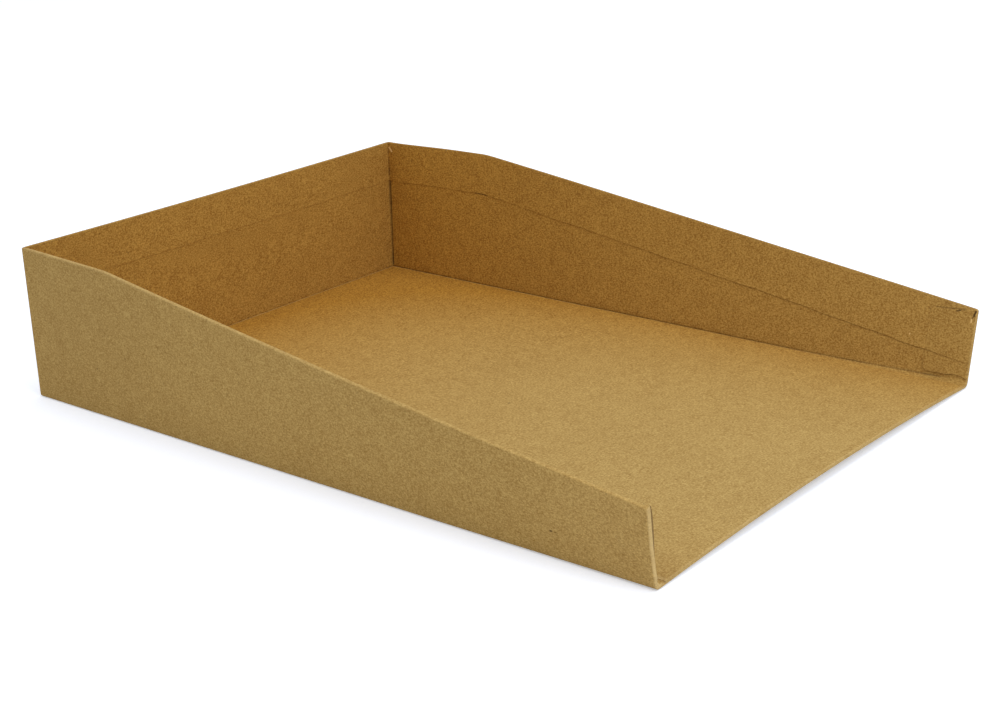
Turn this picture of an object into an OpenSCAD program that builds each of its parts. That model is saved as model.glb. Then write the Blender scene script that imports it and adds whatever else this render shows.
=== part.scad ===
// Open-fronted letter tray: one board blank, creased and folded up into a floor, a back wall and
// two sloping side walls, covered in kraft paper that turns in over every free edge.
// Millimetres. +Z is up, +Y points to the back wall, and the open front faces -Y.
// The origin is on the table, under the middle of the base.

/* [Tray] */
// Width across the base, over the cover
base_w = 240; // [200:1:320]
// Depth of the base from the front lip to the back, over the cover
base_d = 335; // [260:1:450]
// Height of the back wall, over the cover
back_h = 69.5; // [50:0.5:110]
// Height of the side walls at the open front, measured up the wall
front_h = 34.5; // [32:0.5:48]
// Level stretch of the side walls' top edges, from the back
level_run = 63; // [20:1:150]

/* [Spring of the card] */
// Outward lean of the side walls at the back, in degrees
back_lean = 0.75; // [0:0.25:5]
// Outward lean of the side walls at the open front, in degrees
front_lean = 13.5; // [0:0.5:20]
// Rise of the middle of the front lip off the table
lip_rise = 3.4; // [0:0.2:8]
// Depth of the floor that lies flat on the table, from the back
flat_run = 90; // [30:1:200]

/* [Board] */
// Thickness of the board
board_t = 1.2; // [0.8:0.1:2.4]
// Outside radius of the folds, over the cover
fold_r = 1.2; // [0.6:0.1:2]
// Width of the crease pressed into each panel along the inside of a fold
crease_w = 0.8; // [0.4:0.1:1.5]
// Depth of the crease along the inside of a fold
crease_d = 0.3; // [0.05:0.05:0.5]
// Slit between the back wall and the ends of the side walls
corner_gap = 0.6; // [0.3:0.1:1.5]

/* [Cover] */
// Thickness of the cover paper
paper_t = 0.25; // [0.15:0.05:0.4]
// Depth of the turn-in below the rim of the back wall and of the side walls' level stretch
back_turn_in = 20.5; // [10:0.5:30]
// Depth of the turn-in below the rim at the front of the side walls
front_turn_in = 25; // [10:0.5:26]
// Width of the turn-in round the front end of each side wall
end_turn_in = 20.3; // [8:0.1:40]
// Height of that end turn-in's lower edge above the floor
end_lift = 2.7; // [1.5:0.1:4]
// Depth of the turn-in over the front lip
lip_turn_in = 22; // [8:0.5:40]
// Distance of the lip's turn-in from each side wall
lip_margin = 3; // [2:0.5:20]
// Chamfer that softens the covered free edges, at most four fifths of the paper
edge_soft = 0.2; // [0.05:0.05:0.3]

/* [Hidden] */

// Depths below the outside of the cover
inside = paper_t + board_t;
one_layer = inside + paper_t;
// Chamfer of the free edges, which stays inside the paper
chamfer = min(edge_soft, 0.8 * paper_t);
// Radius of the folds, which the board's thickness limits
fold = min(fold_r, board_t);
// Bottom of a crease, as far into the one panel as into the other
pit = crease_d / sqrt(2);

// Places along the depth, from the open front to the back
front_y = -base_d / 2;
end_y = front_y + end_turn_in;
lip_y = front_y + lip_turn_in;
back_y = base_d / 2;
level_y = back_y - level_run;
flat_y = back_y - flat_run;
back_face_y = back_y - inside;
slit_y = back_face_y - corner_gap;
turn_in_y = back_y - one_layer;
// The side walls stop twisting this far in front of the back wall
rear_run = 6;
rear_y = back_face_y - rear_run;

// Pieces that the floor's half width and each fold are drawn in, and the longest piece of the depth
floor_n = 5;
fold_n = 4;
run_step = 34;

// Rows of a half section, from the middle of the floor to the rim
lip_row = floor_n;
foot_row = lip_row + 1;
heel_row = foot_row + fold_n;
end_row = heel_row + 1;
turn_in_row = end_row + 1;
board_top_row = turn_in_row + 1;
rim_row = board_top_row + 1;

// Length that reaches past the tray on every side
beyond = base_w + base_d;

// Lean of the side walls at depth y, steady beside the back wall
function lean(y) = back_lean + (front_lean - back_lean) * max(0, rear_y - y) / (rear_y - front_y);

// Height of the rim, up the wall
function rim(y) = back_h - (back_h - front_h) * max(0, level_y - y) / (base_d - level_run);

// Height of the lower edge of the rim's turn-in, up the wall
function turn_in_edge(y) = let (along = max(0, level_y - y) / (base_d - level_run))
    rim(y) - back_turn_in - (front_turn_in - back_turn_in) * along;

// Rise of the arched floor above the table
function arch(x, y) = let (along = max(0, flat_y - y) / (base_d - flat_run), across = 2 * x / base_w)
    lip_rise * along * along * (1 - across * across);

// Point of the floor at depth d below the outside of the cover
function floor_at(x, y, d) = [x, y, arch(x, y) + d];

// Point of the right-hand wall at height h up the wall and depth d below the outside of the cover
function wall_at(y, h, d) = let (a = lean(y))
    [base_w / 2 + h * sin(a) - d * cos(a), y, h * cos(a) + d * sin(a)];

// Height up the wall where its face at depth d meets the floor's face at that depth
function corner_h(y, d) = d * (1 - sin(lean(y))) / cos(lean(y));

// Quadratic curve from a to b, drawn towards c
function curve(a, c, b, t) = (1 - t) * (1 - t) * a + 2 * t * (1 - t) * c + t * t * b;

// Round outside of a fold at depth d, from the floor to the wall
function fold_outside(y, d) = let (
        foot = floor_at(base_w / 2 - fold, y, d),
        corner = wall_at(y, corner_h(y, d), d),
        heel = wall_at(y, fold, d))
    [for (k = [0 : fold_n]) curve(foot, corner, heel, k / fold_n)];

// Pressed crease inside a fold at depth d, from the floor to the wall
function fold_inside(y, d) = let (
        h = corner_h(y, d),
        corner = wall_at(y, h, d),
        foot = floor_at(corner.x - crease_w, y, d),
        bottom = corner + [pit, 0, -pit],
        heel = wall_at(y, h + crease_w, d))
    [foot, (foot + bottom) / 2, bottom, (bottom + heel) / 2, heel];

// Depths of the four faces of cover, board and turn-in; the front edge is chamfered
function face_depth(y, face) = y > front_y
    ? [0, paper_t, inside, one_layer][face]
    : chamfer + (one_layer - 2 * chamfer) * face / 3;

// Half section of one face at depth y, from the middle of the floor to the rim
function half_section(y, face) = let (
        d = face_depth(y, face),
        lip_x = base_w / 2 - one_layer - lip_margin,
        is_board = face == 1 || face == 2,
        top = y > front_y ? rim(y) : rim(y) - chamfer,
        outside = face_depth(y, 0) + chamfer,
        inward = face_depth(y, 3) - chamfer)
    concat(
        [for (k = [0 : floor_n]) floor_at(lip_x * k / floor_n, y, d)],
        face < 2 ? fold_outside(y, d) : fold_inside(y, d),
        [
            wall_at(y, corner_h(y, inside) + end_lift, d),
            wall_at(y, turn_in_edge(y), d),
            wall_at(y, top - (is_board ? paper_t : chamfer), d),
            wall_at(y, top, outside + (inward - outside) * face / 3)
        ]);

// Whole section from its right-hand half, which starts on the middle line
function both_sides(half) = concat(
    [for (k = [len(half) - 1 : -1 : 1]) [-half[k].x, half[k].y, half[k].z]],
    half);

// Values in rising order, each once
function sorted(v) = len(v) < 2 ? v : concat(
    sorted([for (x = v) if (x < v[0]) x]),
    [v[0]],
    sorted([for (x = v) if (x > v[0]) x]));

// Depths of the sections between the given marks, no more than run_step apart
function stations(marks) = let (m = sorted(marks), last = len(m) - 1) concat(
    [for (i = [0 : last - 1])
        let (gap = m[i + 1] - m[i], n = ceil(gap / run_step))
        for (k = [0 : n - 1]) m[i] + gap * k / n],
    [m[last]]);

// Marks along the trough. The side walls stop at the slits and their turn-ins at the back wall's,
// and the floor and the skin run on into the back wall.
marks = [front_y, front_y + paper_t, end_y, lip_y, flat_y, level_y, rear_y];
board_ys = stations(concat(marks, [slit_y, back_face_y, back_y - fold]));
cover_ys = stations(concat(marks, [turn_in_y, turn_in_y + paper_t / 2]));

// The trough is a block of cells: runs along the depth, strips across the section, and three layers,
// which are the cover, the board and the turn-in. A run is told by the depth y at its front, and
// a strip is counted from the middle of the floor.
function in_board(y, strip, layer) =
    layer == 1 && y > front_y && strip < (y < slit_y ? board_top_row : heel_row);

function in_cover(y, strip, layer) =
    layer == 0 ? true
    : y >= turn_in_y ? false
    : layer == 1 ? y == front_y || strip == board_top_row
    : strip >= turn_in_row || (strip == end_row && y < end_y) || (strip < lip_row && y < lip_y);

// Closed solid of the trough's cells for which filled(y, strip, layer) holds
module trough(ys, filled) {
    rows = len(ys);
    cols = 2 * rim_row + 1;
    function strip(j) = j < rim_row ? rim_row - 1 - j : j - rim_row;
    function solid(i, j, c) =
        i >= 0 && i < rows - 1 && j >= 0 && j < cols - 1 && c >= 0 && c < 3 && filled(ys[i], strip(j), c);
    function v(i, j, k) = (k * rows + i) * cols + j;
    function quad(a, b, c, d) = [[a, c, b], [a, d, c]];
    polyhedron(
        points = [for (k = [0 : 3], y = ys) each both_sides(half_section(y, k))],
        faces = [for (i = [0 : rows - 2], j = [0 : cols - 2], c = [0 : 2]) if (solid(i, j, c))
            let (n = c + 1, q = i + 1, r = j + 1) each concat(
                solid(i, j, c - 1) ? [] : quad(v(i, j, c), v(q, j, c), v(q, r, c), v(i, r, c)),
                solid(i, j, c + 1) ? [] : quad(v(i, j, n), v(i, r, n), v(q, r, n), v(q, j, n)),
                solid(i - 1, j, c) ? [] : quad(v(i, j, c), v(i, r, c), v(i, r, n), v(i, j, n)),
                solid(i + 1, j, c) ? [] : quad(v(q, j, c), v(q, j, n), v(q, r, n), v(q, r, c)),
                solid(i, j - 1, c) ? [] : quad(v(i, j, c), v(i, j, n), v(q, j, n), v(q, j, c)),
                solid(i, j + 1, c) ? [] : quad(v(i, r, c), v(q, r, c), v(q, r, n), v(i, r, n)))]);
}

// Front view, drawn in width and height, carried along the depth
module along_depth(from, to, outline) {
    translate([0, to, 0])
        rotate([90, 0, 0])
            linear_extrude(height = to - from)
                polygon(outline);
}

// Side view, drawn in depth and height, carried across the whole width
module across_width(profile) {
    rotate([90, 0, 90])
        translate([0, 0, -beyond / 2])
            linear_extrude(height = beyond)
                polygon(profile);
}

// Outline of a right-hand half in front view, closed by its mirror image
function front_view(half) = let (last = len(half) - 1) concat(
    [for (p = half) [p.x, p.z]],
    [for (k = [last : -1 : 0]) [-half[k].x, half[k].z]]);

// Solid kept inside the folded tray's outline at the back, at depth d below the outside of the cover
module within_outline(d) {
    half = concat(fold_outside(back_y, d), [wall_at(back_y, beyond, d)]);
    intersection() {
        children();
        along_depth(rear_y, back_y + fold, front_view(half));
    }
}

// Outside of the back wall's side view at depth d, from the floor round the fold
function back_outside(d) = [for (k = [0 : fold_n])
    curve([back_y - fold, d], [back_y - d, d], [back_y - d, fold], k / fold_n)];

// Back wall, with its round fold at the foot
module board_back() {
    top = back_h - paper_t;
    within_outline(paper_t)
        across_width(concat(
            [[back_face_y, paper_t]],
            back_outside(paper_t),
            [[back_y - paper_t, top], [back_face_y, top]]));
}

module folded_board() {
    color("#a9824a")
        difference() {
            union() {
                trough(board_ys, function(y, strip, layer) in_board(y, strip, layer));
                board_back();
            }
            across_width([
                [back_face_y - crease_w, inside],
                [back_face_y + pit, inside - pit],
                [back_face_y, inside + crease_w],
                [back_face_y - crease_w, inside + crease_w]]);
        }
}

// Cover of the back wall, over its rim and down to the turn-in's edge
module cover_back() {
    edge_h = back_h - back_turn_in;
    difference() {
        within_outline(0)
            across_width(concat(
                [[turn_in_y, 0]],
                back_outside(0),
                [
                    [back_y, back_h - chamfer],
                    [back_y - chamfer, back_h],
                    [turn_in_y + chamfer, back_h],
                    [turn_in_y, back_h - chamfer]
                ]));
        within_outline(paper_t)
            across_width([
                [rear_y, paper_t],
                [back_face_y, paper_t],
                [back_face_y, edge_h],
                [rear_y, edge_h]]);
        board_back();
    }
}

module cover_paper() {
    color("#b08d52") {
        trough(cover_ys, function(y, strip, layer) in_cover(y, strip, layer));
        cover_back();
    }
}

folded_board();
cover_paper();
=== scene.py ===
"""Looks of the letter tray: a folded board in a kraft paper cover, on a white table in soft light."""

import math

import bpy
import numpy as np
from mathutils import Matrix


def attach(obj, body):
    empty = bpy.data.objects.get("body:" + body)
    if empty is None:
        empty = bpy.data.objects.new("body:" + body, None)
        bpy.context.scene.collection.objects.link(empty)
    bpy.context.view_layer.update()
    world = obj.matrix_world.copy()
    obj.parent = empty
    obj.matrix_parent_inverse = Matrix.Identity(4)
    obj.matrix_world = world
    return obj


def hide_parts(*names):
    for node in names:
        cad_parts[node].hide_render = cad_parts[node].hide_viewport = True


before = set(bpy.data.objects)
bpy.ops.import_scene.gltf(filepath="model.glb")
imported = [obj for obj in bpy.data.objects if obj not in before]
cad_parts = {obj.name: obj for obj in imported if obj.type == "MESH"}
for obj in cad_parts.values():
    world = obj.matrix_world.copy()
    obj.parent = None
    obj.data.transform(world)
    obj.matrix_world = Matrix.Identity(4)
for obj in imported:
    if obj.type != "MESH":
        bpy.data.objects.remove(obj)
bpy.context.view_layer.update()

# Sizes of the tray in millimetres, as in the solids
HALF_W = 120.0
FRONT_Y, BACK_Y = -167.5, 167.5
DEPTH = BACK_Y - FRONT_Y
BACK_H, FRONT_H = 69.5, 34.5
LIP_RISE, FLAT_RUN = 3.4, 90.0
PAPER_T, BOARD_T = 0.25, 1.2
INSIDE = PAPER_T + BOARD_T
ONE_LAYER = INSIDE + PAPER_T
FOLD_R, CREASE_W, CREASE_D = 1.2, 0.8, 0.3
FLAT_Y = BACK_Y - FLAT_RUN
# The slit at the back corner, and the run beside the back wall in which a side wall's lean stays even
CORNER_GAP, EVEN_RUN = 0.6, 6.0
BACK_FACE_Y = BACK_Y - INSIDE
SLIT_Y, REAR_Y = BACK_FACE_Y - CORNER_GAP, BACK_FACE_Y - EVEN_RUN
# The turn-ins as they are cut on this tray, up to 1 mm off the solids', and the wobble of the cut below
# the rim
BACK_TURN_IN, FRONT_TURN_IN, CUT_WOBBLE = 20.5, 24.5, 0.25
END_TURN_IN, END_LIFT = 21.3, 2.9
LIP_TURN_IN, LIP_MARGIN = 22.0, 3.0
END_Y, LIP_Y = FRONT_Y + END_TURN_IN, FRONT_Y + LIP_TURN_IN
LIP_X = HALF_W - ONE_LAYER - LIP_MARGIN

# The left and the right side of this tray, folded by hand, in degrees and millimetres: the rim's level
# run and its fall there, the walls' lean at the back and at the front, how much more they lean by the
# rim's bend, and how far the fold runs out at the back and at the front
LEVEL_RUNS, LEVEL_FALLS = (57.5, 63.5), (0.7, 0.0)
BACK_LEANS, FRONT_LEANS, BEND_LEANS = (0.75, 1.0), (13.0, 13.5), (0.0, 1.9)
BACK_SPREADS, FRONT_SPREADS = (0.0, -1.65), (0.6, 0.0)
# Where the lean by the rim's bend grows and where it fades, from the back
SWELL_GROWS, SWELL_FADES = (6, 45), (60, 260)
# A front end curls in over a run, its upper part also bends in from a share of its height on, and its rim
# drops
END_CURLS, CURL_RUN = (1.5, 0.0), 90.0
END_BENDS, BEND_FROM, BEND_POWER = (1.5, 0.0), 0.45, 1.2
END_DROPS = 1.3, 0.0
# Bow of the back wall's rim towards the front, where it ends beside the middle, and its growth up the
# wall
BACK_BOW, BOW_X, BOW_POWER = 1.6, 116.0, 1.5

# Softness that the solids leave out: the paper's radius round a free edge, the rim's bend and its two
# front corners
EDGE_R = 0.45
BEND_RUN = 3.5
CORNER_RS = 0.5, 1.1
# Depth of the end turn-in's slanting top edge below the rim, at the front edge and at its inner end
FLAP_TOP_FRONT, FLAP_TOP_BACK = 1.7, 4.9
# The end turn-in's lower edge: its round corner, the run in which that fades out, its hump and its dip at
# the front
END_CORNER_RUN, END_CORNER_H, END_CORNER_FADE = 2.2, 2.6, 8.0
END_HUMP, END_DIP = 0.7, 0.5
# Width of the shaded line beside a paper edge, and of a step that a paper edge makes under paper
LINE_W, STEP_W = 0.5, 0.05
# Lifted paper edges: how far the rim's turn-in stands off, with as much wobble, how much less at the
# back, and the length in which it falls off, then the lift and the length for the end turn-in
RIM_LIFT, RIM_CALM, RIM_FALL = 0.1, 0.6, 2.5
END_OFF, END_FALL = 0.28, 2.0
# Growth of the side folds towards the front: its run, the outer radius, the legs inside, and the round
# inside corner
SLACK_RUN, SLACK_R, SLACK_W, SLACK_IN = 110, 1.1, 1.5, 0.75
# How hard the crease is pressed at the back and in the corners, and the power of its falling off to both
# sides
PRESS_BACK, PIT_POWER = 0.8, 1.2
# Height of the bead where the paper stands off the left front end
BEAD_H = 1.2

# Strengths of the warm tint: the outside's own tint and its gain in the light painted at the left front,
# then the warm bounce light and shade painted inside: a side wall's inside at the front and its growth
# to the back, the back wall's inside, and the floor's growth to the back, the right, the back wall and the
# left front
OUTER_TONE, FORE_LIGHT_TINT = 0.15, 0.09
INNER_BOUNCE, INNER_BOUNCE_GAIN, BACK_BOUNCE = 0.5, 0.45, 0.75
FLOOR_BOUNCE_GAIN, FLOOR_BOUNCE_RIGHT, FLOOR_BOUNCE_BACK, FLOOR_BOUNCE_FORE = 0.62, 0.7, 0.42, 0.25
# Strengths of painted shade, with the part that wobbles: in the creases at the back wall, in the corner
# and at the sides, with more where the fold is loose, in the corner's seam and slit, and under the rim
# turn-in's edge on the back wall and on the sides, where it gains to the front
CREASE_BACK, CREASE_CORNER, CREASE_SIDE, CREASE_WOBBLE, CREASE_LOOSE = 0.1, 0.5, 0.6, 0.3, 0.2
SEAM, SEAM_WOBBLE, SLIT, SLIT_WOBBLE = 0.45, 0.3, 0.5, 0.25
EDGE_BACK, EDGE_WOBBLE, EDGE_SIDE, EDGE_AHEAD = 0.04, 0.12, 0.12, 0.45
# Painted shade of the end turn-in's lower edge, of its inner end and what its corner adds, of the rim
# turn-in's edge under it, and in the gap beside the bead
END_EDGE, END_SIDE, CORNER_GAIN, RIDGE, SLIVER = 0.65, 0.2, 0.5, 0.5, 0.7
# A darker band below the rim, then painted shade of whole areas: the left outside at the back, the right
# inside in front and at its end turn-in, and the floor at the left and the right front corner. The last is
# painted shade at the lip turn-in's edge.
RIM_DULL, FAR_SHADE, RIGHT_SHADE, FLAP_SHADE = 0.2, 0.1, 0.07, 0.05
LEFT_DIM, RIGHT_DIM, LIP_EDGE = 0.3, 0.1, 0.16
# Strengths of paler paper: worn left and right front ends, the worn left rim with its gain to the back,
# the other worn rims, light painted on the left outside at the front, the worn lip, light painted over the
# shaded step at its turn-in's left end, and painted highlights on the floor's side of the folds at the
# sides and at the back
LEFT_END_WEAR, RIGHT_END_WEAR, LEFT_RIM_WEAR, LEFT_RIM_GAIN, RIM_WEAR = 0.8, 0.25, 0.08, 0.22, 0.05
FORE_LIGHT, LIP_WEAR, LIP_END_LIGHT, SIDE_FOLD_HIGHLIGHT, BACK_FOLD_HIGHLIGHT = 0.12, 0.35, 0.7, 0.5, 0.6

# Less than any step between stations, the steps in a millimetre to which points are welded, and a quarter
# turn
TINY, WELD_STEPS, QUARTER = 1e-4, 1e4, math.pi / 2
# The points' looks, as the materials read them, and the angle in degrees from which an edge is sharp
LOOKS = "tone_and_bounce", "paleness", "shade"
SHARP = 35
# Steps near a free edge, and pieces of a fold
EDGE_STEPS = np.array([0, 0.04, 0.12, PAPER_T, EDGE_R])
FOLD_N = 8
# Depths of the sections: close at the front edge, the turn-ins' edges, the rim's bend and the back corner
END_STEPS = np.array([
    0.8, 1.2, 1.7, 2.4, 3.2, 4.2, 5.4, 7, 8.5, 10, 12, 14, 16, 18, 19.2, 19.8, 20.3, 20.7, 21, 21.2])
SIDE_Y = np.unique(np.round(np.concatenate([
    FRONT_Y + EDGE_STEPS,
    FRONT_Y + END_STEPS,
    [END_Y, END_Y + STEP_W, END_Y + LINE_W, LIP_Y, LIP_Y + STEP_W, LIP_Y + LINE_W],
    np.linspace(FRONT_Y + 25, BACK_Y - LEVEL_RUNS[1] - 8, 62),
    np.linspace(BACK_Y - LEVEL_RUNS[1] - BEND_RUN, BACK_Y - LEVEL_RUNS[0] + BEND_RUN, 22),
    np.linspace(BACK_Y - LEVEL_RUNS[0] + 8, REAR_Y, 13),
    [SLIT_Y - 3, SLIT_Y - 1, SLIT_Y - 0.4, SLIT_Y, BACK_Y - ONE_LAYER, BACK_FACE_Y, BACK_Y - FOLD_R],
]), 6))
# Places across the floor and the back wall
BACK_LEFT, BACK_RIGHT = (HALF_W + spread for spread in BACK_SPREADS)
BACK_X = np.unique(np.round(np.concatenate([
    [FOLD_R - BACK_LEFT, ONE_LAYER + LINE_W - BACK_LEFT, -LIP_X - LINE_W, -LIP_X],
    np.linspace(-113, 113, 58),
    [LIP_X, LIP_X + LINE_W, BACK_RIGHT - ONE_LAYER - LINE_W, BACK_RIGHT - FOLD_R],
]), 6))
# Angles of the stations in a back corner
ARC = np.linspace(QUARTER, 0, 7)[1:-1]

# Rows of the walls' faces, from the fold's foot to the rim
LOW_ROW = FOLD_N + 2
EDGE_ROW = LOW_ROW + 6
FLAP_ROW = EDGE_ROW + 7
TOP_ROW = FLAP_ROW + 5


def smooth(low, high, x):
    """Smooth step: 0 below low, 1 above high, and a cubic between them."""
    t = np.clip((x - low) / (high - low), 0, 1)
    return t * t * (3 - 2 * t)


def fade(low, high, x):
    """Smooth step down: 1 below low and 0 above high."""
    return 1 - smooth(low, high, x)


def ripple(u, v, seed):
    """Slow wobble of about -1 to 1: a sum of sines of u and v, which are in millimetres, with fixed
    phases."""
    turns = [(0.011, 0.017), (0.019, -0.013), (0.031, 0.024), (0.047, -0.038)]
    phases = 1.37 * seed + np.array([0.3, 1.7, 2.9, 4.1])
    return sum(np.sin(2 * math.pi * (a * u + b * v) + p) for (a, b), p in zip(turns, phases)) / 2.4


def of_side(side, pair):
    """The left or the right of a pair of values."""
    return np.where(side < 0, *pair)


def to_front(y):
    """Run to the front: 0 beside the back wall, and 1 at the front edge."""
    return np.maximum(0, REAR_Y - y) / (REAR_Y - FRONT_Y)


def end_run(y):
    """How far the front end's curl has grown: 1 at the front edge, none further back."""
    return fade(0, CURL_RUN, y - FRONT_Y)


def lean(y, side):
    """Outward lean of a side wall: even beside the back wall, growing in a straight line, with a swell by
    the rim's bend, and less where its end curls in."""
    back, front = of_side(side, BACK_LEANS), of_side(side, FRONT_LEANS)
    swell = smooth(*SWELL_GROWS, BACK_Y - y) * fade(*SWELL_FADES, BACK_Y - y)
    straight = back + (front - back) * to_front(y)
    return np.radians(straight + of_side(side, BEND_LEANS) * swell - of_side(side, END_CURLS) * end_run(y))


def half_w(y, side):
    """Width of the base from the middle to a side's straight fold."""
    back, front = of_side(side, BACK_SPREADS), of_side(side, FRONT_SPREADS)
    return HALF_W + back + (front - back) * to_front(y)


def slope_run(y, side):
    """Share of the sloping rim that is behind depth y: 0 on the level stretch, 1 at the front, and a
    parabola at the bend."""
    level = of_side(side, LEVEL_RUNS)
    t = BACK_Y - level - y
    bent = np.clip(t + BEND_RUN, 0, 2 * BEND_RUN) ** 2 / (4 * BEND_RUN)
    return (bent + np.maximum(t - BEND_RUN, 0)) / (DEPTH - level)


def rim(y, side):
    """Height of the rim up the wall: about level, then a straight slope, with a quarter circle at the
    front corner."""
    radius, fall = of_side(side, CORNER_RS), of_side(side, LEVEL_FALLS)
    near = np.clip(radius - (y - FRONT_Y), 0, radius)
    level = BACK_H - fall * np.clip((BACK_Y - y) / of_side(side, LEVEL_RUNS), 0, 1)
    level = level - of_side(side, END_DROPS) * end_run(y) - radius
    return level - (BACK_H - FRONT_H - fall) * slope_run(y, side) + np.sqrt(radius**2 - near**2)


def turn_in_edge(y, along, side):
    """Height of the lower edge of the rim's turn-in: a depth below the rim that grows to the front, cut
    by hand."""
    run = slope_run(y, side)
    depth = BACK_TURN_IN + (FRONT_TURN_IN - BACK_TURN_IN) * run
    return BACK_H - (BACK_H - FRONT_H) * run - depth + CUT_WOBBLE * ripple(along, 0, 1)


def end_edge(y):
    """Height of the end turn-in's lower edge over the inside fold: it drops to the front edge behind a
    low hump, runs level, and ends in a quarter ellipse that fades out behind the turn-in."""
    ty = y - FRONT_Y
    hump = END_HUMP * smooth(1, 5.5, ty) * fade(5.5, 11, ty) - END_DIP * fade(0, 3.5, ty)
    t = np.clip((ty - END_TURN_IN) / END_CORNER_RUN + 1, 0, 1)
    corner = END_CORNER_H * (1 - np.sqrt(1 - t * t)) * fade(END_TURN_IN, END_TURN_IN + END_CORNER_FADE, ty)
    return END_LIFT + hump + corner


def flap_top(y):
    """Depth of the end turn-in's slanting top edge below the rim."""
    return FLAP_TOP_FRONT + (FLAP_TOP_BACK - FLAP_TOP_FRONT) * np.clip((y - FRONT_Y) / END_TURN_IN, 0, 1)


def arch(x, y):
    """Rise of the floor: none where it lies flat, then the square of the run to the front, and a parabola
    across."""
    along = np.maximum(0, FLAT_Y - y) / (DEPTH - FLAT_RUN)
    return LIP_RISE * along**2 * (1 - (x / HALF_W) ** 2)


def face_depths(t):
    """Depths of the cover's outside, the board's two faces and the turn-in's face, t millimetres from a
    free edge. The outer two follow a quarter circle, and in the wrapped edge itself the middle two share
    out the thickness."""
    back = EDGE_R - np.sqrt(EDGE_R**2 - np.clip(EDGE_R - t, 0, EDGE_R) ** 2)
    faces = np.stack([back, np.full_like(back, PAPER_T), np.full_like(back, INSIDE), ONE_LAYER - back])
    shared = np.stack([back + (ONE_LAYER - 2 * back) * k / 3 for k in range(4)])
    return np.where(t < PAPER_T - TINY, shared, faces)


def slack(y):
    """How far the fold is left round: 1 at the front, none further back."""
    return fade(0, SLACK_RUN, y - FRONT_Y)


def fold_r(y):
    """Outer radius of the fold."""
    return FOLD_R + SLACK_R * slack(y)


def crease_w(y):
    """Length of the crease's two legs."""
    return CREASE_W + SLACK_W * slack(y)


def corner_h(a, d):
    """Height up a wall of lean a where its face at depth d meets the floor's face at that depth."""
    return d * (1 - np.sin(a)) / np.cos(a)


def wall_point(a, h, d):
    """Inward offset from the base line, and height, of the point at height h and depth d of a wall of
    lean a."""
    return d * np.cos(a) - h * np.sin(a), h * np.cos(a) + d * np.sin(a)


def fold_lean(y, side):
    """Lean of the fold: the wall's, fading out at the back corner so that both folds meet there."""
    return lean(y, side) * fade(SLIT_Y - 3, SLIT_Y - 1, y)


def foot_offset(y, k, d, side=1):
    """Inward offset of the fold's foot on face k at depth d: the fold's radius outside, the pressed
    crease inside."""
    a = fold_lean(y, side)
    return fold_r(y) + 0 * d if k < 2 else wall_point(a, corner_h(a, d), d)[0] + crease_w(y)


def wall_path():
    """Stations of the walls' path in plan: up the left side, round the corner, across the back, and down
    the right side. Each has its side, its angle in the corner, which is a quarter turn on a side wall and
    0 on the back wall, and its place."""
    n, m, b = len(SIDE_Y), len(ARC), len(BACK_X)
    quarter, far = np.full(n, QUARTER), np.full(n + m, np.inf)
    side = np.concatenate([np.full(n + m, -1.0), np.sign(BACK_X), np.full(m + n, 1.0)])
    angle = np.concatenate([quarter, ARC, np.zeros(b), ARC[::-1], quarter])
    x = np.concatenate([-far, BACK_X, far])
    y = np.concatenate([SIDE_Y, np.full(m + b + m, np.inf), SIDE_Y[::-1]])
    return side, angle, x, y


def wall_heights(y, along, side):
    """Heights of the rows above the fold: straight shares between the end turn-in's lower edge, the rim's
    turn-in, the end turn-in's top edge and the rim, with close rows at the edges."""
    top, edge = rim(y, side), turn_in_edge(y, along, side)
    low, flap = corner_h(lean(y, side), INSIDE) + end_edge(y), top - flap_top(y)
    under, over, above = edge - LINE_W, edge + 4 * STEP_W, flap + STEP_W
    share = lambda a, b, parts: [a + (b - a) * s for s in parts]
    return np.stack([
        low - 0.6 * LINE_W, low, *share(low, under, (0.2, 0.4, 0.6, 0.8)), under,
        edge, over, *share(over, flap, (0.15, 0.35, 0.5, 0.7, 0.85)), flap,
        above, *share(above, top - EDGE_R, (0.5, 0.8)), *(top - t for t in EDGE_STEPS[::-1]),
    ], -1)


def bead(side, ty, share):
    """Height of the bead at the left front end, ty from the edge: a hump in the upper part of the
    height."""
    hump = smooth(0, 0.45, ty) * fade(0.6, 3.2, ty)
    return BEAD_H * hump * smooth(0.3, 0.7, share) * (1 - 0.3 * smooth(0.9, 1, share)) * (side < 0)


def inner_bounce(y):
    """Warm bounce light and shade painted on a side wall's inside, which grows to the back in a straight
    line.
    """
    return INNER_BOUNCE + INNER_BOUNCE_GAIN * (y - FRONT_Y) / DEPTH


def floor_bounce(x, y):
    """Warm bounce light and shade painted on the floor's inside: the square of the run to the back, and
    falling exponentials from the right side, the back wall and the left front."""
    near = lambda gap, reach: np.exp(-np.maximum(gap, 0) / reach)
    right, back = near(HALF_W - x, 55), near(BACK_Y - y, 38)
    left_front = near(HALF_W + x, 22) * near(y - FRONT_Y, 28)
    grown = FLOOR_BOUNCE_GAIN * ((y - FRONT_Y) / DEPTH) ** 2
    return grown + FLOOR_BOUNCE_RIGHT * right + FLOOR_BOUNCE_BACK * back + FLOOR_BOUNCE_FORE * left_front


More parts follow.
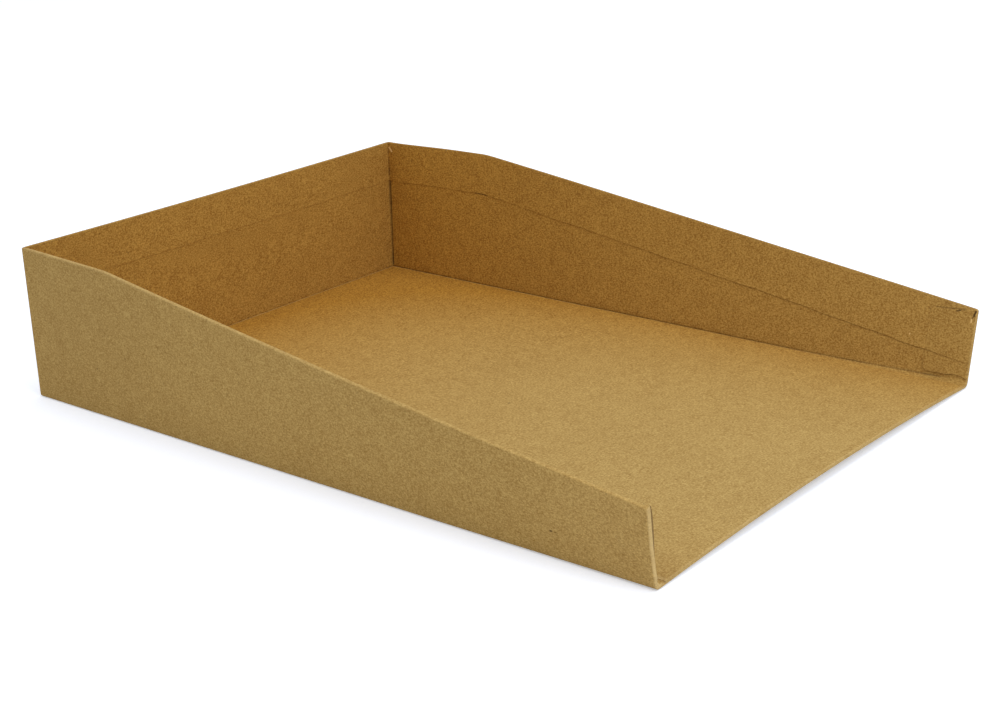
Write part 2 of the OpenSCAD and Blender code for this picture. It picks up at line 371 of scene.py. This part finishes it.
def wall_looks(side, angle, along, ty, h, top, u):
    """Looks of the walls' points on each face: a warm tint with painted bounce light and shade, worn free
    edges with some painted light, and darkening in thin lines and over areas, most of it painted shade.
    The lines follow the creases, the turn-ins' edges and the corner's seam, and all fade in smooth steps."""
    y = ty + FRONT_Y
    rows = np.concatenate([u, h], 1)
    row = np.arange(rows.shape[1])[None, :]
    on_wall = row > FOLD_N
    on_fold = lambda values: np.concatenate([values, 0 * h], 1)
    below = np.where(on_wall, top - rows, top)
    on_side, on_back = angle > QUARTER - TINY, angle < TINY
    corner = ~on_side & ~on_back
    left, right = (side < 0) & on_side, (side > 0) & on_side
    end = ty < END_TURN_IN + TINY
    wobble = 0.5 + 0.5 * ripple(3 * along, 0, 5)

    # Warm bounce light and shade painted inside, and on the left wall only the outside's tint by the rim
    # and the front
    inner = np.where(on_back, BACK_BOUNCE, inner_bounce(y)) + 0 * rows
    gain = (inner - OUTER_TONE) * smooth(0.4, 1.6, below) * smooth(0, 60, ty)
    inner = np.where(left, OUTER_TONE + gain, inner)

    # Painted shade in the creases, and in the back corner's seam and slit
    loose = slack(y)
    crease = on_fold(np.clip(1 - np.abs(u - 0.5 * loose), 0, 1) ** (2 + 3 * loose))
    sides = (CREASE_SIDE + CREASE_WOBBLE * wobble + CREASE_LOOSE * loose) * smooth(9, 14, ty)
    line = crease * np.where(on_back, CREASE_BACK, np.where(corner, CREASE_CORNER, sides))
    at_end = ~on_back & (ty > DEPTH - ONE_LAYER - TINY)
    at_corner = corner | at_end | on_back & (np.abs(along) > half_w(BACK_Y, side) - ONE_LAYER - TINY)
    seam = (corner & (angle > 0.8 * QUARTER) | at_end) * (row >= EDGE_ROW)
    seam = seam * (SEAM + SEAM_WOBBLE * ripple(0, 9 * below, 3))
    slit = (at_corner | ~on_back & (y > SLIT_Y - TINY)) * (row >= FOLD_N) * (row <= EDGE_ROW)
    slit = slit * (SLIT + SLIT_WOBBLE * ripple(0, 7 * below, 4))

    # Painted shadow under the turn-ins' edges, along the ridge over the end turn-in, and in the gap beside
    # the bead
    ahead = fade(20, 250, ty)
    rim_line = np.where(on_back, EDGE_BACK + EDGE_WOBBLE * wobble, EDGE_SIDE + EDGE_AHEAD * ahead)
    under = (row == EDGE_ROW) * rim_line
    end_line = END_EDGE * np.where(left, smooth(8, 12, ty), smooth(-1, 2, ty))
    under = np.where(end, (row == LOW_ROW) * end_line, under)
    past = (np.abs(ty - END_TURN_IN - STEP_W / 2) < STEP_W / 2 + TINY) & (row >= LOW_ROW) & (row < EDGE_ROW)
    under = np.maximum(under, past * (END_SIDE + CORNER_GAIN * (row < LOW_ROW + 2)))
    ridge = RIDGE * (row == EDGE_ROW) * end * smooth(3, 18, ty)
    share = np.where(on_wall, rows / top, 0)
    sliver = SLIVER * smooth(0.25, 0.55, share) * (side < 0) * (ty > 0.1) * (ty < 1)

    # A darker band below the rim, and painted shade of whole areas
    dull = RIM_DULL * fade(0.3, 1.4, below) * ~left * smooth(0.3, 2, ty)
    far = FAR_SHADE * smooth(150, 330, ty) * left
    right_inside_shade = np.where(right, RIGHT_SHADE * fade(230, 300, ty) + FLAP_SHADE * end, 0) + 0 * rows

    # Worn free edges, a painted highlight on the floor's side of the folds, and light painted on the left
    # outside at the front
    rubbed = np.where(left, LEFT_RIM_WEAR + LEFT_RIM_GAIN * smooth(80, 300, ty), RIM_WEAR)
    ends = np.where(left, LEFT_END_WEAR, RIGHT_END_WEAR)
    paleness = np.maximum(fade(0.1, 0.9, ty) * ends, fade(0.1, 0.9, below) * rubbed)
    pressed = np.where(on_side, SIDE_FOLD_HIGHLIGHT * smooth(150, 280, ty), BACK_FOLD_HIGHLIGHT)
    lip = on_fold(pressed * smooth(-1.2, -0.8, u) * fade(-0.5, -0.2, u))
    painted_fore_light = fade(0, 70, ty) * left
    faces = [
        (OUTER_TONE + FORE_LIGHT_TINT * painted_fore_light, np.maximum(paleness, FORE_LIGHT * painted_fore_light), np.maximum(dull, far)),
        (OUTER_TONE, paleness, np.maximum(dull, slit)),
        (inner, np.maximum(paleness, lip), np.maximum.reduce([line, under, slit, right_inside_shade])),
        (inner, paleness * (sliver < TINY), np.maximum.reduce([line, seam, ridge, sliver, dull, right_inside_shade])),
    ]
    return np.stack([np.broadcast_arrays(*f, rows)[:3] for f in faces], 1)


def floor_looks(x, y):
    """Looks of the floor's points on each face, as of the walls': painted warm bounce light and shade
    inside.
    The thin lines of painted shade follow the lip turn-in's edges, the front corners are dimmed with
    painted shade by falling exponentials, and light is painted at the lip turn-in's left end."""
    ty = y - FRONT_Y
    paleness = LIP_WEAR * fade(0.1, 0.9, ty)
    inner = floor_bounce(x, y)
    # Painted shade along the lip turn-in's edge, and at the front corners by the walls
    edge = (np.abs(ty - LIP_TURN_IN) < TINY) * (np.abs(x) < LIP_X + TINY)
    dim = LEFT_DIM * np.exp(-np.maximum(HALF_W + x, 0) / 17 - ty / 30)
    dim = dim + RIGHT_DIM * np.exp(-np.maximum(HALF_W - x, 0) / 40 - ty / 25)
    # Light painted over the shaded step at the lip turn-in's left end
    pale = np.maximum(paleness, LIP_END_LIGHT * (np.abs(x + LIP_X) < TINY) * (ty < LIP_TURN_IN))
    outside = (OUTER_TONE, paleness, 0 * inner)
    faces = [outside, outside, (inner, pale, np.maximum(dim, LIP_EDGE * edge)), (inner, pale, dim)]
    return np.stack([np.broadcast_arrays(*f, inner)[:3] for f in faces], 1)


def walls(lifted):
    """Points of the walls' faces: a section of fold, wall and rim carried along the path and offset
    inwards by its depth. In the corner a point lies on an ellipse round the fold's foot. Lifted paper
    edges curl off by a falling exponential, and at the top of the left front end the paper stands off in
    a bead. The back wall bows by a parabola across, and the left front end's upper part bends in. Returns
    the points and their looks."""
    side, angle, px, py = (v[:, None] for v in wall_path())
    y = np.minimum(py, BACK_Y)
    along = np.where(np.isfinite(px), px, side * (BACK_Y + HALF_W - y))
    h = wall_heights(y[:, 0], along[:, 0], side[:, 0])
    rows = lambda j: h[:, j - FOLD_N - 1:j - FOLD_N]
    low, edge, flap, top = rows(LOW_ROW), rows(EDGE_ROW), rows(FLAP_ROW), h[:, -1:]
    ty = y - FRONT_Y
    free = np.minimum(ty, top - h)
    d, front = face_depths(free), face_depths(ty)
    on_flap = (h < flap + STEP_W / 2) & (ty < END_TURN_IN + STEP_W / 2)
    over_flap = smooth(edge, edge + 4 * STEP_W, h) * on_flap
    d[3] += PAPER_T * over_flap * smooth(0, 0.4, ty)
    if lifted:
        waves = RIM_LIFT + RIM_LIFT * ripple(along, 0, 2)
        lift = smooth(15, 40, ty) * (1 - RIM_CALM * smooth(190, 260, ty)) * waves
        curl = (h > edge - STEP_W) * np.exp((edge - h) / RIM_FALL) * lift
        curl += (h < edge - STEP_W) * np.exp((low - h) / END_FALL) * smooth(0.5, 5, ty) * END_OFF
        d[2:] += np.maximum(curl, 0) + bead(side, ty, h / top)
    t = np.linspace(0, 1, FOLD_N + 1)
    u = 2 * t - 1
    pressed = np.where(angle > QUARTER - TINY, smooth(5, 60, ty), PRESS_BACK)
    middle = 1 - np.abs(u)
    pit = CREASE_D / math.sqrt(2) * pressed * middle**PIT_POWER - SLACK_IN * slack(y) * middle**2
    radius, leg, width = fold_r(y), crease_w(y), half_w(y, side)
    flat = 0 * u + 0 * y
    bowed = np.concatenate([flat, (h / top) ** BOW_POWER], 1)
    bow = BACK_BOW * (1 - np.minimum(1, (px / BOW_X) ** 2)) * bowed
    bent = np.clip((h / top - BEND_FROM) / (1 - BEND_FROM), 0, 1) ** BEND_POWER
    bend = of_side(side, END_BENDS) * end_run(y) * np.concatenate([flat, bent], 1)

    def section(k, a_fold, a_wall):
        """Inward offsets and heights of face k: outside the fold is a quadratic curve, inside two legs
        with a pit."""
        meet = corner_h(a_fold, front[k])
        if k < 2:
            foot = (radius, front[k] + arch(width - radius, y))
            ends = zip(foot, wall_point(a_fold, meet, front[k]), wall_point(a_fold, radius, front[k]))
            fold = [(1 - t) ** 2 * f + 2 * t * (1 - t) * c + t**2 * e for f, c, e in ends]
        else:
            o, z = wall_point(a_fold, meet + leg * np.maximum(u, 0), front[k])
            o = o + leg * np.maximum(-u, 0) - pit
            fold = [o, z - pit + arch(width - o, y) * (u < 0)]
        wall = wall_point(a_wall, h, d[k])
        return [np.concatenate(np.broadcast_arrays(f, pit)[:1] + [w], 1) for f, w in zip(fold, wall)]

    points = []
    for k in range(4):
        o_side, z = section(k, fold_lean(y, side) * np.sin(angle), lean(y, side) * np.sin(angle))
        o_side = np.where(angle > 0, section(k, fold_lean(y, side), lean(y, side))[0], o_side)
        o_back = section(k, 0 * y, 0 * y)[0]
        c = np.maximum(FOLD_R, o_back)
        x = np.clip(px, c - width, width - c) + side * ((c - o_side) * np.sin(angle) - bend)
        points.append(np.stack([x, np.minimum(py, BACK_Y - c) + (c - o_back) * np.cos(angle) - bow, z], -1))
    return np.stack(points), wall_looks(side, angle, along, ty, h, top, u + 0 * y)


def floor_faces():
    """Points of the floor's faces: a grid over width and depth, kept inside the folds' feet, and arched
    to the front lip. Returns the points and their looks."""
    x, y = BACK_X[:, None], SIDE_Y[None, :]
    points = []
    for k, d in enumerate(face_depths(y - FRONT_Y)):
        low, high = (side * (half_w(y, side) - foot_offset(y, k, d, side)) for side in (-1, 1))
        xx = np.clip(x, low, high)
        xx[0], xx[-1] = low[0], high[0]
        yy = np.minimum(y, BACK_Y - foot_offset(BACK_Y, k, d)) + 0 * x
        points.append(np.stack([xx, yy, arch(xx, yy) + d], -1))
    return np.stack(points), floor_looks(x, y)


def skin_of(filled, index, joined):
    """Faces between the filled and the empty cells of a grid, turned outwards. Sides in joined, as (axis,
    end), get none."""
    quads = []
    for axis in range(3):
        order = [axis, (axis + 1) % 3, (axis + 2) % 3]
        cells, ids = filled.transpose(order).astype(int), index.transpose(order)
        step = np.diff(np.pad(cells, ((1, 1), (0, 0), (0, 0))), axis=0)
        for end in (0, -1):
            if (axis, end) in joined:
                step[end] = 0
        for sign in (1, -1):
            n, i, j = np.nonzero(step == sign)
            quad = np.stack([ids[n, i, j], ids[n, i + 1, j], ids[n, i + 1, j + 1], ids[n, i, j + 1]], 1)
            quads.append(quad[:, ::-sign])
    return np.concatenate(quads)


def welded(points, quads):
    """One mesh from both grids: points at the same place become one, and faces that close up become
    triangles or go."""
    used, quads = np.unique(quads, return_inverse=True)
    places = np.round(points[used] * WELD_STEPS).astype(np.int64)
    _, first, weld = np.unique(places, axis=0, return_index=True, return_inverse=True)
    quads = weld.reshape(-1)[quads.reshape(-1, 4)]
    same = quads == np.roll(quads, -1, 1)
    crossed = (quads[:, 0] == quads[:, 2]) | (quads[:, 1] == quads[:, 3])
    whole = quads[(same.sum(1) == 0) & ~crossed]
    closed = (same.sum(1) == 1) & ~crossed
    thirds = quads[closed][~same[closed]].reshape(-1, 3)
    return used[first], whole.tolist() + thirds.tolist()


def piece(name, walls_made, floor_made, wall_cells, floor_cells, material, node):
    """A closed piece of the tray from its filled cells of the walls' and the floor's grids, in metres."""
    (wall, wall_look), (floor, floor_look) = walls_made, floor_made
    looks = np.concatenate([wall_look.reshape(3, -1), floor_look.reshape(3, -1)], 1)
    points = np.concatenate([wall.reshape(-1, 3), floor.reshape(-1, 3)])
    wall_ids = np.arange(wall[..., 0].size).reshape(wall.shape[:3])
    floor_ids = wall_ids.size + np.arange(floor[..., 0].size).reshape(floor.shape[:3])
    quads = np.concatenate([
        skin_of(wall_cells, wall_ids, {(2, 0)}),
        skin_of(floor_cells, floor_ids, {(1, 0), (1, -1), (2, -1)}),
    ])
    kept, faces = welded(points, quads)
    mesh = bpy.data.meshes.new(name)
    mesh.from_pydata((points[kept] / 1000).tolist(), [], faces)
    mesh.polygons.foreach_set("use_smooth", np.ones(len(faces), bool))
    mesh.set_sharp_from_angle(angle=math.radians(SHARP))
    mesh.materials.append(material)
    for look, values in zip(LOOKS, looks[:, kept]):
        stored = mesh.attributes.new(look, "FLOAT", "POINT").data
        stored.foreach_set("value", np.ascontiguousarray(values, np.float32))
    obj = bpy.data.objects.new(name, mesh)
    bpy.context.scene.collection.objects.link(obj)
    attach(obj, "root")
    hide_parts(node)


# The filled cells. A cell is a layer (cover, board, turn-in), a run along the path or across, and a
# strip.
path_y = wall_path()[3]
run_y = np.minimum(path_y[:-1], path_y[1:])[None, :, None]
strip = np.arange(TOP_ROW + 3)[None, None, :]
layer = np.arange(3)[:, None, None]
wrap = run_y < FRONT_Y + PAPER_T - TINY
slit = (run_y > SLIT_Y - TINY) & (run_y < BACK_FACE_Y - TINY)
board_walls = (layer == 1) & ~wrap & (strip < TOP_ROW) & ~(slit & (strip >= FOLD_N))
end_flap = (strip >= LOW_ROW) & (run_y < END_Y - TINY)
cover_walls = (layer == 0) | (layer == 1) & (wrap | (strip >= TOP_ROW))
cover_walls = cover_walls | (layer == 2) & ((strip >= EDGE_ROW) | end_flap)

row_y = SIDE_Y[None, None, :-1]
col_x = (BACK_X[:-1] + BACK_X[1:])[None, :, None] / 2
lip_wrap = row_y < FRONT_Y + PAPER_T - TINY
lip_flap = (row_y < LIP_Y - TINY) & (np.abs(col_x) < LIP_X)
board_floor = (layer == 1) & ~lip_wrap & (np.abs(col_x) < HALF_W)
cover_floor = (layer == 0) & (np.abs(col_x) < HALF_W) & (row_y < BACK_Y)
cover_floor = cover_floor | (layer == 1) & lip_wrap | (layer == 2) & lip_flap


class Socket:
    """A shader value. Arithmetic on it adds Math nodes to its material."""

    def __init__(self, shade, socket):
        self.shade, self.socket = shade, socket

    def math(self, operation, *values):
        """A Math node on values and numbers."""
        return self.shade.node("ShaderNodeMath", {"operation": operation}, dict(enumerate(values)))

    def __add__(self, other):
        return self.math("ADD", self, other)

    def __radd__(self, other):
        return self.math("ADD", other, self)

    def __sub__(self, other):
        return self.math("SUBTRACT", self, other)

    def __rsub__(self, other):
        return self.math("SUBTRACT", other, self)

    def __mul__(self, other):
        return self.math("MULTIPLY", self, other)

    def __rmul__(self, other):
        return self.math("MULTIPLY", other, self)

    def between(self, low, high):
        """Smooth step of the value from low to high."""
        return self.shade.node("ShaderNodeMapRange", {"interpolation_type": "SMOOTHSTEP"},
                               {"Value": self, "From Min": low, "From Max": high})


class Shade:
    """A material's node tree. node() is the one way in which a node is added."""

    def __init__(self, tree):
        self.tree = tree
        tree.nodes.clear()

    def node(self, kind, settings=None, inputs=None, output=0):
        """A node of a kind with its settings, then its sockets' values or links. Gives one of its
        outputs."""
        made = self.tree.nodes.new(kind)
        for name, value in (settings or {}).items():
            setattr(made, name, value)
        for name, value in (inputs or {}).items():
            if isinstance(value, Socket):
                self.tree.links.new(value.socket, made.inputs[name])
            else:
                made.inputs[name].default_value = value
        return Socket(self, made.outputs[output]) if made.outputs else None

    def vector(self, operation, *values, output="Vector"):
        """A Vector Math node on vectors."""
        return self.node("ShaderNodeVectorMath", {"operation": operation}, dict(enumerate(values)), output)

    def mix(self, factor, a, b, blend="MIX"):
        """Colour a mixed towards colour b."""
        settings = {"data_type": "RGBA", "blend_type": blend}
        return self.node("ShaderNodeMix", settings, {0: factor, 6: a, 7: b}, 2)

    def stroke(self, place, start, end):
        """Distance of a place from the straight stroke between two points: from its nearest point on that
        line, kept between the ends."""
        run = np.subtract(end, start)
        off = self.vector("SUBTRACT", place, start)
        share = self.vector("DOT_PRODUCT", off, tuple(run / run.dot(run)), output="Value")
        share = share.math("MINIMUM", share.math("MAXIMUM", share, 0.0), 1.0)
        nearest = self.vector("MULTIPLY_ADD", share, tuple(run), start)
        return self.vector("DISTANCE", place, nearest, output="Value")

    def noise(self, vector, scale, detail, rough):
        """Noise of about 0 to 1, with scale in features per metre."""
        return self.node("ShaderNodeTexNoise", {}, {
            "Vector": vector, "Scale": scale, "Detail": detail, "Roughness": rough})


def rgb(r, g, b):
    """Linear colour of an sRGB colour given from 0 to 255."""
    parts = [v / 255 for v in (r, g, b)]
    return tuple(v / 12.92 if v <= 0.04045 else ((v + 0.055) / 1.055) ** 2.4 for v in parts) + (1.0,)


# Colours of the pale and the dark fibres, of the warm inside with its painted bounce light and shade as a
# share of the outside's, of worn edges and painted highlights, of torn paper and a painted highlight, and
# of painted shade and dark flecks
PALE, DARK = rgb(203, 174, 109), rgb(150, 116, 57)
WARM_TINT_AND_BOUNCE = (0.93, 0.685, 0.26, 1)
WORN_AND_LIT, TORN_AND_LIT, LINE = rgb(222, 196, 140), rgb(240, 202, 134), rgb(64, 40, 14)
# Contrast of the fibres, and its growth with the warm tint and its painted bounce light and shade
GRAIN, WARM_GRAIN = 1.35, 0.8
# Specks in a metre, and how far a mark's outline follows the fibres, in metres
SPECKS, RAGGED = 75.0, 0.0005


def kraft(name, marks):
    """Kraft paper: short fibres in noise stretched two ways, a cloudy sheet under them, and a few dark
    specks. The points' looks give it a warm tint with painted bounce light and shade, make it paler where
    worn or where light is painted, and darken it, mostly with painted shade. Marks are strokes with two
    ends, a radius, a colour and a strength."""
    material = bpy.data.materials.new(name)
    material.use_nodes = True
    s = Shade(material.node_tree)
    place = s.node("ShaderNodeTexCoord", output="Object")
    tone_and_bounce, paleness, shade = (
        s.node("ShaderNodeAttribute", {"attribute_name": look}, output="Fac") for look in LOOKS)
    fibres = s.noise(s.vector("MULTIPLY", place, (1.0, 0.5, 0.8)), 1900, 3, 0.65)
    cross = s.noise(s.vector("MULTIPLY", place, (0.5, 1.0, 1.0)), 1700, 2, 0.65)
    cloud = s.noise(place, 160, 3, 0.55)
    broad = s.noise(place, 14, 2, 0.5)
    sheet = (fibres - 0.5) + 0.7 * (cross - 0.5) + 0.16 * (cloud - 0.5)
    mixed = 0.5 + GRAIN * (1 + WARM_GRAIN * tone_and_bounce) * sheet + 0.12 * (broad - 0.5)
    colour = s.mix(mixed.between(0, 1), DARK, PALE)
    # Warm tint, with the bounce light and shade painted into it
    colour = s.mix(tone_and_bounce, colour, s.mix(1.0, colour, WARM_TINT_AND_BOUNCE, "MULTIPLY"))
    flecks = s.noise(place, 900, 1, 0.5)
    colour = s.mix(flecks.between(0.68, 0.78) * 0.35, colour, LINE)
    cells = {"Vector": place, "Scale": SPECKS}
    speck = s.node("ShaderNodeTexVoronoi", {}, cells, "Distance")
    pick = s.node("ShaderNodeSeparateColor", {}, {0: s.node("ShaderNodeTexVoronoi", {}, cells, "Color")})
    colour = s.mix(speck.between(0.04, 0.015) * pick.between(0.7, 0.72) * 0.6, colour, LINE)
    # Paler where worn, and where highlights and light are painted
    colour = s.mix(paleness * (0.25 + 0.7 * cloud), colour, WORN_AND_LIT)
    # Darker with painted shade, and in a band below the rim
    colour = s.mix(shade * (0.5 + 0.6 * cross), colour, LINE)
    for start, end, radius, tint, strength in marks:
        away = s.stroke(place, start, end) + RAGGED * (fibres - 0.5)
        colour = s.mix(away.between(radius, 0.4 * radius) * strength, colour, tint)
    bump = s.node("ShaderNodeBump", {}, {
        "Height": fibres + 0.6 * cloud, "Distance": 0.00005, "Strength": 0.5})
    shader = s.node("ShaderNodeBsdfPrincipled", {}, {
        "Base Color": colour, "Roughness": 0.85, "Specular IOR Level": 0.25, "Normal": bump})
    s.node("ShaderNodeOutputMaterial", {}, {"Surface": shader})
    return material


# Marks on the cover, in metres: painted shade along the right end turn-in's top edge and in a pleat,
# painted shade in its notch at the front corner and a painted highlight along a crease below, a chip in the
# turn-in, a tear at the top of the back corner, and a dark fleck on the left side
COVER_MARKS = [
    ((0.12546, -0.1486, 0.0321), (0.12607, -0.1620, 0.0332), 0.0005, LINE, 0.36),
    ((0.12545, -0.1583, 0.0319), (0.12564, -0.1599, 0.0325), 0.00045, LINE, 0.85),
    ((0.12594, -0.1668, 0.0330), (0.12549, -0.1663, 0.0311), 0.0006, LINE, 0.9),
    ((0.12549, -0.1663, 0.0311), (0.12514, -0.1657, 0.0298), 0.0005, LINE, 0.5),
    ((0.12504, -0.16544, 0.0293), (0.12476, -0.16546, 0.0282), 0.0005, TORN_AND_LIT, 0.7),
    ((0.1220, -0.1380, 0.0187), (0.1220, -0.1379, 0.0185), 0.0005, TORN_AND_LIT, 0.7),
    ((0.11781, 0.1653, 0.0668), (0.11776, 0.1639, 0.0650), 0.0007, TORN_AND_LIT, 1.0),
    ((-0.1228, -0.1243, 0.0120), (-0.1228, -0.1239, 0.0120), 0.0006, LINE, 0.75),
]
# Marks on the board: the shade under the turn-in's lifted edge by the rim's bend, and a dark fleck on the
# floor
BOARD_MARKS = [
    ((0.1213, 0.1097, 0.0490), (0.1216, 0.1019, 0.0485), 0.0005, LINE, 0.6),
    ((-0.0121, -0.0167, 0.0020), (-0.0117, -0.0167, 0.0020), 0.0006, LINE, 0.75),
]
cover_kraft, board_kraft = kraft("kraft_cover", COVER_MARKS), kraft("kraft_board", BOARD_MARKS)
cover_points, board_points, floor_points = walls(True), walls(False), floor_faces()
piece("tray_cover", cover_points, floor_points, cover_walls, cover_floor,
      cover_kraft, "cover_paper")
piece("tray_board", board_points, floor_points, board_walls, board_floor,
      board_kraft, "folded_board")


def shown(tree):
    """1 for what the camera sees, also in a reflection or through glass, and 0 for the light that falls
    on the tray."""
    rays = ("Is Camera Ray", "Is Glossy Ray", "Is Transmission Ray")
    camera, glossy, through = (tree.node("ShaderNodeLightPath", output=ray) for ray in rays)
    return camera.math("MAXIMUM", camera, glossy.math("MAXIMUM", glossy, through))


# White table, a little under the tray: where it is shown its colour and a share of plain white lift the
# open floor to white, and the shadow stays. Far from the tray it is plain white.
TABLE_R, TABLE_Z = 6, -0.0002
TABLE_COLOUR, SHOWN_COLOUR, WHITE = (0.8, 0.8, 0.8, 1), (1.31, 1.42, 1.64, 1), (1, 1, 1, 1)
PLAIN_SHARE, FAR = 0.35, (0.7, 1.6)
table_mesh = bpy.data.meshes.new("table")
corners = [(x * TABLE_R, y * TABLE_R, TABLE_Z) for x, y in ((-1, -1), (1, -1), (1, 1), (-1, 1))]
table_mesh.from_pydata(corners, [], [(0, 1, 2, 3)])
table = bpy.data.objects.new("table", table_mesh)
bpy.context.scene.collection.objects.link(table)
white = bpy.data.materials.new("white_table")
white.use_nodes = True
w = Shade(white.node_tree)
seen = shown(w)
away = w.vector("LENGTH", w.node("ShaderNodeTexCoord", output="Object"), output="Value")
share = seen * (PLAIN_SHARE + (1 - PLAIN_SHARE) * away.between(*FAR))
lit = w.node("ShaderNodeBsdfDiffuse", {}, {"Color": w.mix(seen, TABLE_COLOUR, SHOWN_COLOUR)})
plain = w.node("ShaderNodeEmission", {}, {"Color": WHITE, "Strength": 1.0})
surface = w.node("ShaderNodeMixShader", {}, {0: share, 1: lit, 2: plain})
w.node("ShaderNodeOutputMaterial", {}, {"Surface": surface})
table_mesh.materials.append(white)

# Studio: the light all round, which is shown as plain white
WORLD = 0.66
world = bpy.data.worlds.new("studio")
bpy.context.scene.world = world
world.use_nodes = True
v = Shade(world.node_tree)
air = v.node("ShaderNodeBackground", {}, {"Color": WHITE, "Strength": WORLD + (1 - WORLD) * shown(v)})
v.node("ShaderNodeOutputWorld", {}, {"Surface": air})


def softbox(name, place, aim, size, watts):
    """Square soft lamp at a place in metres, turned to shine at the aim."""
    data = bpy.data.lights.new(name, "AREA")
    data.shape, data.size, data.energy = "SQUARE", size, watts
    lamp = bpy.data.objects.new(name, data)
    place, aim = np.array(place, float), np.array(aim, float)
    back = (place - aim) / np.linalg.norm(place - aim)
    ahead = (0.0, 1.0, 0.001)
    across = np.cross(ahead, back)
    across /= np.linalg.norm(across)
    axes = np.stack([across, np.cross(back, across), back], 1)
    lamp.matrix_world = Matrix.Translation(place.tolist()) @ Matrix(axes.tolist()).to_4x4()
    bpy.context.scene.collection.objects.link(lamp)


LAMP_AIM = (0, 0, 0.02)
softbox("overhead", (0.1, -0.1, 2.2), LAMP_AIM, 1.2, 11.5)
softbox("front", (-0.25, -0.8, 0.7), LAMP_AIM, 0.5, 2.5)

# Camera: place in metres, and its right and up directions, found from the tray's corners in the
# photograph
CAMERA_PLACE = (-0.592235, -0.488516, 0.288273)
RIGHT, UP = np.array([0.6256, -0.779559, -0.030213]), np.array([0.277295, 0.185998, 0.942609])
camera_data = bpy.data.cameras.new("camera")
camera_data.sensor_fit, camera_data.sensor_width, camera_data.lens = "HORIZONTAL", 36.0, 66.5486
camera_data.clip_start = 0.05
camera = bpy.data.objects.new("camera", camera_data)
turn = Matrix(np.stack([RIGHT, UP, np.cross(RIGHT, UP)], 1).tolist()).to_4x4()
camera.matrix_world = Matrix.Translation(CAMERA_PLACE) @ turn
bpy.context.scene.collection.objects.link(camera)
bpy.context.scene.camera = camera
bpy.context.scene.view_settings.view_transform = "Standard"
